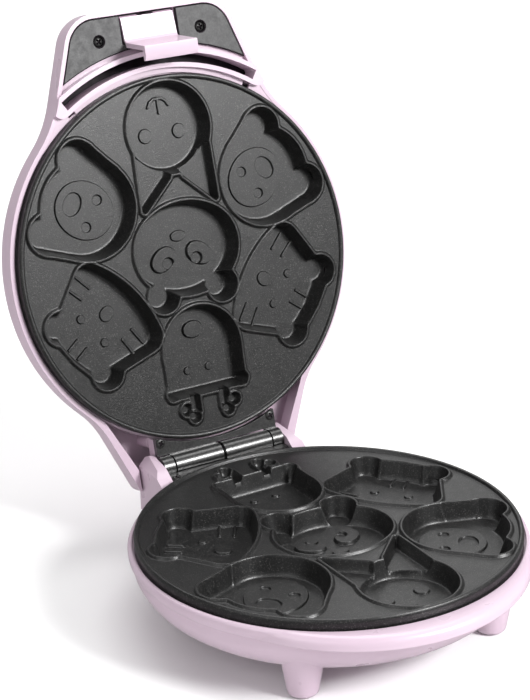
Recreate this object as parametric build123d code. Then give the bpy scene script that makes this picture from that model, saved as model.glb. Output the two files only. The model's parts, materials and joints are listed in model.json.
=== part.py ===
from build123d import *
import os

# Mini cookie maker with a hinged lid, shown open. Millimetres, +Z up.
# Everything is drawn closed: the origin is the centre of the moulds on the parting plane
# between the two plates, the front is towards -Y and the hinge is at the rear.
# At the end the lid is turned open and the whole object is set down on its feet.

# Mould plates, the upper one being the lower one's mirror image
PLATE_R = 100.0
PLATE_GAP = 0.4
SHEET = 2.0
FACE_DROP = 1.6
BEAD_WIDTH = 2.7
SKIRT_DEPTH = 7.5
SKIRT_WALL = 2.2
DRAFT = 14.0
CUP_WALL = 1.9
CUP_DRAFT = 10.0
LIP_WIDTH = 2.0
LIP_RISE = 1.5
LIP_DRAFT = 30.0
LIP_ROOT = 0.6
MOULD_DEPTH = 10.5
EAR_DEPTH = 6.5
ANTLER_DEPTH = 4.5
RELIEF = 1.3
RIB_WIDTH = 1.3
TIGER_PLACE = (142.1, -57.6, 28.2)
DOG_PLACE = (213.2, -57.5, -37.9)
PLATE_SCREWS = ((34.5, 70.0), (-34.5, 70.0), (29.7, -58.0), (-29.7, -58.0))
PLATE_BOSS_R = 3.8
PLATE_POST_R = 5.0
PLATE_WELL_R = 3.5
PLATE_WELL_TOP = -27.0

# Hinge
HINGE_Y = 110.5
HINGE_Z = -1.2
OPEN_ANGLE = 104.0
PIN_R = 2.5
PIN_CLEARANCE = 0.05
BARREL_R = 6.0
BRACKET_HALF = 37.8
BRACKET_T = 3.0
BRACKET_RISE = 1.3
BRACKET_EDGE_Y = 104.1
LONG_KNUCKLE = (0.8, 30.4)
SHORT_KNUCKLE = (31.2, 37.8)
BRACKET_SCREW = (35.0, 97.2)
BRACKET_POST_R = 3.8

# Shells
WALL = 2.4
RIM_Z = 5.5
SEAT_T = 2.2
SEAT_R = 98.2
BAND_R = 103.4
SHELL_R = 103.6
CREASE_R = 101.1
CREASE_Z = -12.8
BASE_BOTTOM = -34.4
LIP_CENTRE_Y = -21.8
LIP_R = 90.7
LID_TOP = 24.0
LID_ROUND = 9.0
DOME_TOP = 36.0
DOME_EDGE_R = 88.0
DOME_R = 322.7
HOUSING_HALF = 46.3
HOUSING_REAR = 119.8
HOUSING_BOTTOM = -30.0
POCKET_HALF = 38.3
POCKET_FLOOR = -9.2
ARM_INNER = 47.6
SKIRT_START = 12.0
HOUSING_FRONT = 86.0
HOUSING_BEVEL = 5.0
VENTS = (-22, -13, -4, 4, 13, 22)
VENT_LENGTH = 26.0
VENT_WIDTH = 2.4

# Feet
FLOOR_Z = -48.4
FRONT_FOOT = (56.5, -64.1)
REAR_FOOT = (34.5, 104.0)
FOOT_TOP_R = 11.0
FOOT_TIP_R = 7.7
PAD_R = 4.6
PAD_T = 1.5
PAD_PROUD = 0.5

# Collar with a deep slot, between the lid's plate and its handle
COLLAR_HALF_ANGLE = 33.5
COLLAR_TOP = 2.5
SLOT_IN_R = 106.0
SLOT_OUT_R = 111.5
COLLAR_OUT_R = 114.0
SLOT_BOTTOM = 14.0

# Handle cover and latch
COVER_Z = 5.8
COVER_T = 2.2
COVER_INNER_R = 116.6
COVER_SCREW = (31.0, -122.4)
COVER_POST_R = 4.2
COVER_WELL_R = 3.0
COVER_EAR_R = 5.5
NOTCH_HALF = 17.0
NOTCH_REAR = -119.4
LATCH_HALF = 16.0
LATCH_PIN_Y = -131.4
LATCH_PIN_Z = 10.4
LATCH_PIN_R = 1.25
LATCH_BARREL_R = 2.7
LATCH_SPRING_HALF = 5.0
HOOK_TOP = -13.8
HOOK_BOTTOM = -16.6
HOOK_TIP_Y = -109.0
EAR_T = 2.4

# Heating parts
ELEMENT_R = 55.0
ELEMENT_TUBE_R = 3.3
ELEMENT_Z = -16.2
ELEMENT_GAP_ANGLE = 24.0
REFLECTOR_Z = -20.0
REFLECTOR_T = 0.7
REFLECTOR_WALL_R = 97.35
REFLECTOR_BACK_R = 87.0
REFLECTOR_BEND_Z = -14.5
TERMINAL_R = 1.6
TERMINAL_LENGTH = 6.0
THERMOSTAT_R = 7.4
THERMOSTAT_FLANGE_R = 9.0

# Inlet for the mains lead, in the rear wall
INLET_Z = -22.6
INLET_R = 3.8
INLET_BORE_R = 2.6
INLET_FLANGE_R = 5.0

# Indicator light in the top of the handle
LAMP_Y = -107.0
LAMP_HOLE_R = 2.5
LENS_R = 3.4
LAMP_R = 2.0

# Screws
SCREW_R = 1.5
SCREW_HEAD_R = 2.7
SCREW_FREE = 0.15

# Half way between the front of the base and the back of the open lid
MIDDLE_Y = 40.2

FACE_Z = -PLATE_GAP / 2 - FACE_DROP
LIP_Z = FACE_Z + LIP_RISE
FLOOR_OF_MOULD = LIP_Z - MOULD_DEPTH
CUP_BOTTOM = FLOOR_OF_MOULD - SHEET
SEAT_Z = -SKIRT_DEPTH
SEAT_UNDER = SEAT_Z - SEAT_T

os.makedirs("parts", exist_ok=True)


def cylinder(radius, low, high, x=0, y=0):
    """An upright cylinder between two heights."""
    return Pos(x, y, low) * Cylinder(radius, high - low, align=(Align.CENTER, Align.CENTER, Align.MIN))


def block(x1, x2, y1, y2, z1, z2):
    """A box between two corners."""
    return Pos((x1 + x2) / 2, (y1 + y2) / 2, (z1 + z2) / 2) * Box(x2 - x1, y2 - y1, z2 - z1)


def cross_bar(profile, x1, x2):
    """A (y, z) profile carried along X between two places."""
    return Pos(x1, 0, 0) * extrude(Plane.YZ * profile, amount=x2 - x1)


def turned(profile):
    """An (r, z) profile turned about the upright axis."""
    return revolve(Plane.XZ * profile, axis=Axis.Z)


def outline(*lines):
    return make_face(Curve() + list(lines))


def both_sides(shape):
    """The shape and its mirror image over the centre line."""
    return shape + mirror(shape, about=Plane.YZ)


def soften(sketch, radius, near):
    """Rounds the outline's corners that lie close to the given points or their mirror images."""
    picked = []
    for corner in sketch.vertices():
        for x, y in near:
            if abs(abs(corner.X) - x) < 2.5 and abs(corner.Y - y) < 2.5:
                picked.append(corner)
                break
    return fillet(picked, radius)


def oval(half_wide, half_high):
    """A four-arc oval, close to an ellipse."""
    if half_high > half_wide:
        return Rot(0, 0, 90) * oval(half_high, half_wide)
    end_r = half_high - 0.55 * (half_wide - half_high) * half_high / half_wide - 0.001
    run = half_wide - end_r
    side_r = (run**2 + half_high**2 - end_r**2) / (2 * (half_high - end_r))
    way = Vector(run, side_r - half_high).normalized()
    x, y = run + end_r * way.X, end_r * way.Y
    return outline(
        ThreePointArc((x, -y), (half_wide, 0), (x, y)),
        ThreePointArc((x, y), (0, half_high), (-x, y)),
        ThreePointArc((-x, y), (-half_wide, 0), (-x, -y)),
        ThreePointArc((-x, -y), (0, -half_high), (x, -y)),
    )


def pair(sketch):
    """A sketch and its mirror image over the centre line, as two."""
    return [sketch, mirror(sketch, about=Plane.YZ)]


def widened(sketch, by):
    return offset(sketch, by) if by else sketch


def bear_shapes(grow):
    return [Pos(0, -5) * widened(oval(32, 26), grow)] + pair(Pos(18.3, 18.8) * Circle(9.3 + grow))


def cat_head_shapes(grow):
    return [Pos(0, -71.4) * Circle(25.2 + grow)]


def cat_ear_shapes(grow):
    ear = make_face(Polyline((2.0, -49.0), (4.0, -44.0), (23.8, -25.6), (23.6, -58.0), close=True))
    return pair(widened(soften(ear, 3.0, ((23.8, -25.6),)), grow))


def deer_shapes(grow):
    jaw = Pos(0, 51) * Circle(24 + grow)
    brow = Pos(0, 63.6) * Rectangle(47.8 + 2 * grow, 25.2 + 2 * grow)
    return [jaw, brow] + pair(Pos(21.6, 72.5) * Circle(3.9 + grow))


def antler_shapes(grow):
    stem = Pos(9.2, 80.5) * Rectangle(5.8 + 2 * grow, 11.0 + 2 * grow)
    tip = Pos(10.6, 87.6) * Circle(3.5 + grow)
    fork = Pos(15.0, 83.0) * Circle(3.6 + grow)
    return pair(stem) + pair(tip) + pair(fork)


def tiger_shapes(grow):
    head = outline(
        ThreePointArc((-20.5, 20.5), (0, 24), (20.5, 20.5)),
        Line((20.5, 20.5), (31.8, -11)),
        ThreePointArc((31.8, -11), (31.2, -18.5), (25.5, -22.8)),
        ThreePointArc((25.5, -22.8), (0, -27.4), (-25.5, -22.8)),
        ThreePointArc((-25.5, -22.8), (-31.2, -18.5), (-31.8, -11)),
        Line((-31.8, -11), (-20.5, 20.5)),
    )
    return [widened(head, grow)] + pair(Pos(18.6, 15.8) * Circle(9.0 + grow))


def dog_shapes(grow):
    return [Pos(0, -3.5) * Circle(27.5 + grow)] + pair(Pos(21.3, 13.2) * Circle(10.8 + grow))


def set_at(angle, x, y):
    """Where a mould goes that was drawn upright about the origin: its top points along the angle."""
    return Pos(x, y) * Rot(0, 0, angle - 90)


def joined(solids):
    """Solids fused one after another."""
    whole = solids[0]
    for solid in solids[1:]:
        whole = whole + solid
    return whole


def hollow(shapes, depth):
    """The hollow that a mould leaves in the cooking side of the plate."""
    return joined([extrude(Pos(0, 0, LIP_Z) * sketch, amount=-depth, taper=DRAFT) for sketch in shapes(0)])


def cup(shapes, depth):
    """The outside of that hollow, with the raised lip that parts a cookie from its rim."""
    top = FACE_Z - SHEET / 2
    walls = [Pos(0, 0, top) * sketch for sketch in shapes(CUP_WALL)]
    edges = [Pos(0, 0, top) * sketch for sketch in shapes(LIP_WIDTH + LIP_ROOT)]
    solids = [extrude(sketch, amount=LIP_Z - depth - SHEET - top, taper=CUP_DRAFT) for sketch in walls]
    return joined(solids + [extrude(sketch, amount=LIP_Z - top, taper=LIP_DRAFT) for sketch in edges])


def moulds():
    """Every mould: its shapes, its depth, where it is set and whether it has a twin on the other side."""
    here = Pos(0, 0, 0)
    return [
        (bear_shapes, MOULD_DEPTH, here, False),
        (deer_shapes, MOULD_DEPTH, here, False),
        (antler_shapes, ANTLER_DEPTH, here, False),
        (cat_head_shapes, MOULD_DEPTH, here, False),
        (cat_ear_shapes, EAR_DEPTH, here, False),
        (tiger_shapes, MOULD_DEPTH, set_at(*TIGER_PLACE), True),
        (dog_shapes, MOULD_DEPTH, set_at(*DOG_PLACE), True),
    ]


def set_in_plate(solid, place, twin):
    solid = place * solid
    return [solid, mirror(solid, about=Plane.YZ)] if twin else [solid]


def raised(sketch, height, depth=MOULD_DEPTH):
    """A raised figure on a pocket's floor."""
    floor = LIP_Z - depth
    return extrude(Pos(0, 0, floor - SHEET / 2) * sketch, amount=height + SHEET / 2, taper=8)


def sunk(sketch, top, bottom):
    """A figure cut down from one height above the pocket's floor to another."""
    return extrude(Pos(0, 0, FLOOR_OF_MOULD + top) * sketch, amount=bottom - top, taper=8)


def rib(x1, y1, x2, y2):
    """A short raised bar seen from above, with round ends."""
    run = Line((x1, y1), (x2, y2))
    slot = SlotOverall(run.length + RIB_WIDTH, RIB_WIDTH, rotation=0)
    return Pos((x1 + x2) / 2, (y1 + y2) / 2) * Rot(0, 0, run.tangent_angle_at(0)) * slot


def bear_face():
    patch = Pos(11.2, -0.2) * Rot(0, 0, 32) * oval(8.0, 5.9)
    eye = Pos(8.9, 2.4) * Circle(3.1)
    nose = Pos(0, -11.6) * oval(4.6, 2.9)
    face = both_sides(raised(patch, 1.6 * RELIEF) - sunk(eye, 1.6 * RELIEF, 0.3))
    return [face, raised(nose, RELIEF)]


def deer_face():
    eye = both_sides(Pos(6.7, 63.3) * Circle(2.1))
    nose = Pos(0, 41) * oval(6.0, 4.5)
    return [raised(eye, RELIEF), raised(nose, 1.4 * RELIEF)]


def cat_face():
    eye = both_sides(Pos(10.4, -68.3) * Circle(3.9))
    smile = both_sides(rib(0, -87.2, 6.4, -83.6))
    middle = rib(0, -79.6, 0, -86.8)
    return [raised(eye, RELIEF), raised(smile + middle, RELIEF)]


def tiger_face():
    eye = both_sides(Pos(9.6, 2.5) * Circle(2.3))
    nose = Pos(0, -9.8) * oval(3.8, 4.5)
    brow = rib(-3.6, 19.6, -3.6, 11.8) + rib(3.6, 19.6, 3.6, 11.8)
    cheek = rib(27.6, -4.2, 16.6, -5.6) + rib(27.4, -12.4, 17.2, -13.2)
    return [raised(eye + nose, RELIEF), raised(brow + both_sides(cheek), RELIEF)]


def dog_face():
    patch = Pos(0, -5) * oval(15.5, 17.5)
    eye = both_sides(Pos(8, -9.5) * Circle(2.7))
    nose = Pos(0, 3) * oval(6.5, 5.0)
    return [raised(patch, 1.5 * RELIEF) - sunk(eye, 1.5 * RELIEF, 0.2) - sunk(nose, 1.5 * RELIEF, 0.2)]


def plate_disc():
    """The plate without its moulds: face, raised bead round the rim and skirt."""
    top = -PLATE_GAP / 2
    inner = PLATE_R - BEAD_WIDTH
    crown = PLATE_R - BEAD_WIDTH / 2
    shoulder = top - 1.1
    under = FACE_Z - SHEET
    skirt = PLATE_R - SKIRT_WALL
    profile = outline(
        Line((0, FACE_Z), (inner, FACE_Z)),
        ThreePointArc((inner, FACE_Z), (inner + 0.5, top - 0.2), (crown, top)),
        ThreePointArc((crown, top), (PLATE_R - 0.4, top - 0.35), (PLATE_R, shoulder)),
        Polyline((PLATE_R, shoulder), (PLATE_R, SEAT_Z), (skirt, SEAT_Z), (skirt, under)),
        Polyline((skirt, under), (0, under), (0, FACE_Z)),
    )
    return turned(profile)


def plate():
    """The lower mould plate."""
    body = plate_disc()
    for shapes, depth, place, twin in moulds():
        for solid in set_in_plate(cup(shapes, depth), place, twin):
            body = body + solid
    for x, y in PLATE_SCREWS:
        body = body + cylinder(PLATE_BOSS_R, REFLECTOR_Z, FACE_Z - SHEET / 2, x, y)
    for shapes, depth, place, twin in moulds():
        for solid in set_in_plate(hollow(shapes, depth), place, twin):
            body = body - solid
    for x, y in PLATE_SCREWS:
        body = body - cylinder(SCREW_R, REFLECTOR_Z - 1, CUP_BOTTOM, x, y)
    for figure in bear_face() + deer_face() + cat_face():
        body = body + figure
    for faces, place in ((tiger_face(), set_at(*TIGER_PLACE)), (dog_face(), set_at(*DOG_PLACE))):
        for figure in faces:
            for solid in set_in_plate(figure, place, True):
                body = body + solid
    return body


def heating_element():
    """A sheathed tube bent to an open ring under the moulds, its ends turned down to the terminals."""
    gap = ELEMENT_GAP_ANGLE
    ring = CenterArc((0, 0, ELEMENT_Z), ELEMENT_R, 90 + gap / 2, 360 - gap)
    tube = sweep(Plane(origin=ring @ 0, z_dir=ring % 0) * Circle(ELEMENT_TUBE_R), path=ring)
    for end, way in ((ring @ 0, 1), (ring @ 1, -1)):
        terminal = Rot(0, 90, 0) * Cylinder(TERMINAL_R, TERMINAL_LENGTH)
        tube = tube + Pos(end.X + way * 2.0, end.Y, end.Z) * terminal
    return tube


def reflector(flange):
    """A thin metal dish behind a plate, with screw holes over the plate's bosses."""
    wall_r, deep_r = REFLECTOR_WALL_R, REFLECTOR_BACK_R
    back, out = REFLECTOR_Z - REFLECTOR_T, wall_r + REFLECTOR_T - 0.05
    top, rim_r = SEAT_UNDER, SHELL_R - WALL - 2.0
    inside = Polyline((0, REFLECTOR_Z), (deep_r, REFLECTOR_Z), (wall_r, REFLECTOR_BEND_Z), (wall_r, top))
    if flange:
        rim = Polyline((wall_r, top), (rim_r, top), (rim_r, top - REFLECTOR_T), (out, top - REFLECTOR_T))
        outside = Polyline((out, top - REFLECTOR_T), (out, REFLECTOR_BEND_Z - 0.5), (deep_r, back), (0, back))
    else:
        rim = Line((wall_r, top), (out, top))
        outside = Polyline((out, top), (out, REFLECTOR_BEND_Z - 0.5), (deep_r, back), (0, back))
    dish = turned(outline(inside, rim, outside, Line((0, back), (0, REFLECTOR_Z))))
    for x, y in PLATE_SCREWS:
        dish -= cylinder(SCREW_R + SCREW_FREE, back - 1, REFLECTOR_Z + 1, x, y)
    return dish


def screw(x, y, seat, tip, head_r=SCREW_HEAD_R, head_h=1.7):
    """A round-headed screw. Its head is on the far side of the seat from the tip."""
    away = 1 if seat > tip else -1
    low, high = sorted((seat, seat + away * head_h))
    head = cylinder(head_r, low, high, x, y)
    crown = head.faces().sort_by(Axis.Z)[-1 if away > 0 else 0]
    head = fillet(crown.edges(), 0.5 * head_h)
    shank_low, shank_high = sorted((tip, seat + away * 0.2))
    return head + cylinder(SCREW_R, shank_low, shank_high, x, y)


def sided(place):
    """A place given on the right, and its mirror image."""
    return (place, (-place[0], place[1]))


def housing():
    """The block at the rear of the base that holds the hinge between two cheeks."""
    front, under, rear = HOUSING_FRONT, HOUSING_BOTTOM, HOUSING_REAR
    cheek = make_face(
        Polyline((front, under), (rear, under), (rear, 3.5), (117, 4.5), (103, 1.8), (97, -2.3), (92, -6),
                 (front, -8.5), close=True)
    )
    middle = make_face(
        Polyline((front, under), (rear, under), (rear, POCKET_FLOOR), (BRACKET_EDGE_Y + 0.2, POCKET_FLOOR),
                 (BRACKET_EDGE_Y + 0.2, -RIM_Z), (front, -RIM_Z), close=True)
    )
    mass = cross_bar(cheek, POCKET_HALF, HOUSING_HALF) + cross_bar(cheek, -HOUSING_HALF, -POCKET_HALF)
    mass += cross_bar(middle, -POCKET_HALF, POCKET_HALF)
    half, bevel = HOUSING_HALF, HOUSING_BEVEL
    from_front = Polyline((-half + 3, under), (half - 3, under), (half, under + 3), (half, -1),
                          (half - bevel, 4.6), (-half + bevel, 4.6), (-half, -1), (-half, under + 3), close=True)
    slab = extrude(Plane.XZ.offset(-rear) * make_face(from_front), amount=rear - front)
    return mass & slab


def foot(place, top):
    """A tapered foot with a rounded end, down from the given height."""
    x, y = place
    tip = FLOOR_Z + PAD_PROUD
    on_tip = (Align.CENTER, Align.CENTER, Align.MIN)
    cone = Pos(x, y, tip) * Cone(FOOT_TIP_R, FOOT_TOP_R + 0.6, top - tip, align=on_tip)
    end = cone.faces().sort_by(Axis.Z)[0]
    return fillet(end.edges(), 2.4)


def feet():
    return sided(FRONT_FOOT) + sided(REAR_FOOT)


def base_bowl():
    """The base's outside: bowl, crease, band under the plate and the crescent lip that the latch catches."""
    low = BASE_BOTTOM
    side = outline(
        Line((0, -RIM_Z), (0, low)),
        Line((0, low), (83, low)),
        ThreePointArc((83, low), (94.2, -28.0), (100.5, -18.5)),
        ThreePointArc((100.5, -18.5), (101.0, -15.8), (CREASE_R, CREASE_Z)),
        Line((CREASE_R, CREASE_Z), (102.4, -11.6)),
        ThreePointArc((102.4, -11.6), (103.1, -10.2), (BAND_R, -7.9)),
        ThreePointArc((BAND_R, -7.9), (102.9, -6.2), (101.6, -RIM_Z)),
        Line((101.6, -RIM_Z), (0, -RIM_Z)),
    )
    lip = cylinder(LIP_R, CREASE_Z, -RIM_Z, 0, LIP_CENTRE_Y)
    lip = fillet(lip.faces().sort_by(Axis.Z)[-1].edges(), 4.4)
    lip = fillet(lip.faces().sort_by(Axis.Z)[0].edges(), 1.2)
    return turned(side) + lip


def base_hollow():
    """The room inside the base, with the ledge that the lower plate's skirt stands on."""
    low = BASE_BOTTOM + WALL
    inside = SHELL_R - WALL
    return turned(
        outline(
            Polyline((0, 10), (inside, 10), (inside, SEAT_Z), (SEAT_R, SEAT_Z), (SEAT_R, SEAT_UNDER),
                     (98.4, SEAT_UNDER - 1.0), (98.1, -18.5)),
            ThreePointArc((98.1, -18.5), (92.2, -26.6), (82.0, low)),
            Polyline((82.0, low), (0, low), (0, 10)),
        )
    )


def base_shell():
    """The base's outer moulding."""
    shell = base_bowl() + housing()
    for place in sided(FRONT_FOOT):
        shell += foot(place, -24.0)
    for place in sided(REAR_FOOT):
        shell += foot(place, HOUSING_BOTTOM + 2)
    shell -= base_hollow()
    side = HOUSING_HALF - WALL
    shell -= block(-side, side, HOUSING_FRONT + 2, HOUSING_REAR - WALL, HOUSING_BOTTOM + WALL, -11.6)
    for x, y in PLATE_SCREWS:
        shell += cylinder(PLATE_POST_R, BASE_BOTTOM + 1, REFLECTOR_Z - REFLECTOR_T, x, y)
    for x, y in sided(BRACKET_SCREW):
        shell += cylinder(BRACKET_POST_R, -19.0, -11.0, x, y)
    for x, y in PLATE_SCREWS:
        shell -= cylinder(PLATE_WELL_R, BASE_BOTTOM - 1, PLATE_WELL_TOP, x, y)
        shell -= cylinder(SCREW_R + SCREW_FREE, PLATE_WELL_TOP - 1, REFLECTOR_Z, x, y)
    for x, y in sided(BRACKET_SCREW):
        shell -= cylinder(SCREW_R, -17.0, -RIM_Z + 1, x, y)
    for x, y in feet():
        shell -= cylinder(PAD_R, FLOOR_Z - 1, FLOOR_Z + PAD_T, x, y)
    for x in VENTS:
        vent = SlotOverall(VENT_LENGTH, VENT_WIDTH, rotation=90)
        shell -= Pos(x, 12, BASE_BOTTOM) * extrude(vent, amount=6, both=True)
    return shell - Pos(0, HOUSING_REAR, INLET_Z) * Rot(90, 0, 0) * Cylinder(INLET_R, 4 * WALL)


def cord_inlet():
    """The grommet in the rear wall that the mains lead comes through."""
    neck, flange, thick = INLET_R, INLET_FLANGE_R, WALL
    profile = make_face(
        Polyline((INLET_BORE_R, 0), (flange, 0), (flange, 1.6), (neck, 1.6), (neck, 1.6 + thick),
                 (flange - 0.4, 1.6 + thick), (flange - 0.8, 3.0 + thick), (INLET_BORE_R, 3.0 + thick),
                 close=True)
    )
    return Pos(0, HOUSING_REAR + 1.6, INLET_Z) * Rot(90, 0, 0) * turned(profile)


def foot_pads():
    return [cylinder(PAD_R, FLOOR_Z, FLOOR_Z + PAD_T, x, y) for x, y in feet()]


def terminal_block():
    """A ceramic block on the base's floor, with two screw wells."""
    body = block(-14, 14, 60, 72, BASE_BOTTOM + WALL, BASE_BOTTOM + WALL + 8)
    body = chamfer(body.edges().filter_by(Axis.Z), 1.0)
    for x in (-7, 7):
        body -= cylinder(2.2, BASE_BOTTOM + WALL + 4, 0, x, 66)
    return body


def thermal_fuse():
    """A fuse held under the middle mould by a bent metal clip."""
    fuse = Pos(0, -5, CUP_BOTTOM - 2.4) * Rot(0, 90, 0) * Cylinder(1.9, 12)
    saddle = block(-3, 3, -9.5, -0.5, CUP_BOTTOM - 0.8, CUP_BOTTOM)
    return fuse + saddle + block(-3, 3, -7.2, -2.8, CUP_BOTTOM - 1.6, CUP_BOTTOM)


def thermostat():
    """A round thermostat on the back of the upper plate, with two blade terminals."""
    high = -CUP_BOTTOM
    body = cylinder(THERMOSTAT_FLANGE_R, high, high + 1.2, 0, -5)
    body += cylinder(THERMOSTAT_R, high, high + 5.0, 0, -5)
    for y in (-9.5, -0.5):
        body += block(-3.2, 3.2, y - 0.4, y + 0.4, high + 4, high + 6.8)
    return body


def bracket(side):
    """One leaf of the die-cast hinge, with a long and a short knuckle. Side 1 is the lid's, -1 the base's."""
    low, high = sorted((HINGE_Z + side * BRACKET_RISE, HINGE_Z + side * (BRACKET_RISE + BRACKET_T)))
    half = BRACKET_HALF
    far, near = BRACKET_EDGE_Y, BRACKET_EDGE_Y - 11.5
    leaf = make_face(Polyline((-half, near), (half, near), (half, far), (-half, far), close=True))
    leaf = leaf - Circle(SHELL_R - WALL + 0.1)
    body = extrude(Pos(0, 0, low) * leaf, amount=high - low)
    bore = PIN_R + (PIN_CLEARANCE if side > 0 else 0)
    for (x1, x2), mirrored in ((LONG_KNUCKLE, side > 0), (SHORT_KNUCKLE, side < 0)):
        x1, x2 = (-x2, -x1) if mirrored else (x1, x2)
        body += block(x1, x2, BRACKET_EDGE_Y - 1, HINGE_Y, low, high)
        body += cross_bar(Pos(HINGE_Y, HINGE_Z) * Circle(BARREL_R), x1, x2)
    body -= cross_bar(Pos(HINGE_Y, HINGE_Z) * Circle(bore), -half - 1, half + 1)
    for x, y in sided(BRACKET_SCREW):
        body -= cylinder(SCREW_R + SCREW_FREE, low - 1, high + 1, x, y)
    return body


def hinge_pin():
    return cross_bar(Pos(HINGE_Y, HINGE_Z) * Circle(PIN_R), -BRACKET_HALF, BRACKET_HALF)


def lid_outline():
    """The lid seen from above: disc, handle at the front and two arms at the rear."""
    handle = make_face(Polyline((70.0, -70.0), (46.7, -137.4), (-46.7, -137.4), (-70.0, -70.0), close=True))
    rear = make_face(Polyline((70.4, 70.0), (47.9, 123.0), (-47.9, 123.0), (-70.4, 70.0), close=True))
    handle = soften(handle, 19.0, ((46.7, -137.4),))
    rear = soften(rear, 5.0, ((47.9, 123.0),))
    whole = Circle(SHELL_R) + handle + rear
    whole = soften(whole, 62.0, ((66.6, -79.4),))
    return soften(whole, 50.0, ((66.4, 79.5),))


def lid_form(sketch, rim, top, dome_top, rounding, dome_r):
    """A block over the outline with rounded upper edges and a shallow dome."""
    body = extrude(Pos(0, 0, rim) * sketch, amount=top - rim)
    body = fillet(body.faces().sort_by(Axis.Z)[-1].edges(), rounding)
    dome = Pos(0, 0, dome_top - dome_r) * Sphere(dome_r)
    return body + (dome & cylinder(DOME_EDGE_R, top - 3, dome_top + 1))


def arm_gap():
    """The opening between the lid's rear arms, seen from above."""
    inner = ARM_INNER
    right = ((63.2, 79.0), (inner, 110), (inner, 130))
    left = ((-inner, 130), (-inner, 110), (-63.2, 79.0))
    return make_face(Polyline(*right, *left, close=True))


def lid_shell():
    """The lid's outer moulding."""
    plan = lid_outline()
    outside = lid_form(plan, RIM_Z, LID_TOP, DOME_TOP, LID_ROUND, DOME_R)
    inner_plan = offset(plan, -WALL)
    inside = lid_form(inner_plan, RIM_Z - 1, LID_TOP - WALL, DOME_TOP - WALL, LID_ROUND - WALL, DOME_R - WALL)
    arm_plan = (plan & (Pos(0, 105) * Rectangle(160, 60))) - arm_gap() - Circle(SHELL_R - WALL)
    arms = extrude(Pos(0, 0, RIM_Z) * arm_plan, amount=LID_TOP - RIM_Z - LID_ROUND)
    shell = outside - inside + arms
    shell -= extrude(Pos(0, 0, RIM_Z - 1) * arm_gap(), amount=SKIRT_START - RIM_Z + 1)
    for x, y in sided(BRACKET_SCREW):
        shell += cylinder(BRACKET_POST_R, -SEAT_UNDER, LID_TOP - WALL + 0.5, x, y)
        shell -= cylinder(SCREW_R, -SEAT_UNDER - 1, 19.0, x, y)
    for x, y in sided(COVER_SCREW):
        shell += cylinder(COVER_POST_R, COVER_Z + 3 * COVER_T, LID_TOP - WALL + 0.5, x, y)
        shell -= cylinder(SCREW_R, COVER_Z + 2 * COVER_T, 20.0, x, y)
    for x in (-NOTCH_HALF - EAR_T, NOTCH_HALF):
        low = COVER_Z + COVER_T + 0.2
        shell += block(x, x + EAR_T, LATCH_PIN_Y - 4.2, LATCH_PIN_Y + 3.6, low, LID_TOP - WALL + 0.5)
    pin_half = NOTCH_HALF + 1.8
    shell -= cross_bar(Pos(LATCH_PIN_Y, LATCH_PIN_Z) * Circle(LATCH_PIN_R), -pin_half, pin_half)
    return shell - cylinder(LAMP_HOLE_R, LID_TOP - WALL - 1, LID_TOP + 3, 0, LAMP_Y)


def fan(half_angle, radius):
    """A sector of a circle that opens towards the front."""
    front = Vector(0, -radius)
    left, right = front.rotate(Axis.Z, -half_angle), front.rotate(Axis.Z, half_angle)
    return outline(Line((0, 0), left), ThreePointArc(left, front, right), Line(right, (0, 0)))


def ring_sector(r1, r2, half_angle):
    return (Circle(r2) - Circle(r1)) & fan(half_angle, r2 + 20)


def lid_inner_frame():
    """The moulding that carries the upper plate and, at the front, the collar with its slot."""
    outer = SHELL_R - WALL
    half = COLLAR_HALF_ANGLE
    ring = cylinder(outer - 0.1, -SEAT_Z, -SEAT_UNDER) - cylinder(SEAT_R, 0, 20)
    middle = (SHELL_R + COLLAR_OUT_R) / 2
    end = Vector(0, -middle).rotate(Axis.Z, half)
    round_end = both_sides(Pos(end.X, end.Y) * Circle(COLLAR_OUT_R - middle))
    plan = lid_outline()
    collar = (ring_sector(SHELL_R - 0.1, COLLAR_OUT_R, half) + round_end) & plan
    room = offset(plan, -WALL - 0.1)
    inside = collar & room
    frame = ring + extrude(Pos(0, 0, COLLAR_TOP) * collar, amount=RIM_Z - 0.1 - COLLAR_TOP)
    frame += extrude(Pos(0, 0, RIM_Z - 0.5) * inside, amount=SLOT_BOTTOM + 2.1 - RIM_Z)
    neck = ring_sector(outer - 0.5, SHELL_R, half - 3)
    frame += extrude(Pos(0, 0, RIM_Z) * neck, amount=-SEAT_UNDER - RIM_Z)
    slot = ring_sector(SLOT_IN_R, SLOT_OUT_R, half - 1.0)
    frame -= extrude(Pos(0, 0, COLLAR_TOP - 1) * slot, amount=SLOT_BOTTOM - COLLAR_TOP + 1)

    shelf = ring_sector(COLLAR_OUT_R - 1, COVER_INNER_R + 1.6, half - 4) & room
    frame += extrude(Pos(0, 0, COVER_Z + COVER_T) * shelf, amount=COVER_T)
    for x, y in sided(COVER_SCREW):
        arm = Pos(x, (y - 113.0) / 2) * Rectangle(2 * COVER_EAR_R, -113.0 - y)
        ear = arm + Pos(x, y) * Circle(COVER_EAR_R)
        frame += extrude(Pos(0, 0, COVER_Z + 2 * COVER_T) * ear, amount=COVER_T)
    rear = Pos(0, BRACKET_EDGE_Y - 5) * Rectangle(2 * BRACKET_HALF, 10) - Circle(SEAT_R + 1)
    frame += extrude(Pos(0, 0, -SEAT_Z) * rear, amount=SEAT_T)
    foot_z = HINGE_Z + BRACKET_RISE + BRACKET_T
    for x, y in sided(BRACKET_SCREW):
        pad = Pos(x, BRACKET_EDGE_Y - 4.6) * Rectangle(2 * (BRACKET_HALF - 35.0), 9.2) - Circle(outer)
        frame += extrude(Pos(0, 0, foot_z) * pad, amount=-SEAT_Z + SEAT_T - foot_z)
    for x, y in sided(BRACKET_SCREW) + sided(COVER_SCREW):
        frame -= cylinder(SCREW_R + SCREW_FREE, 0, 20, x, y)
    return frame


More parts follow.
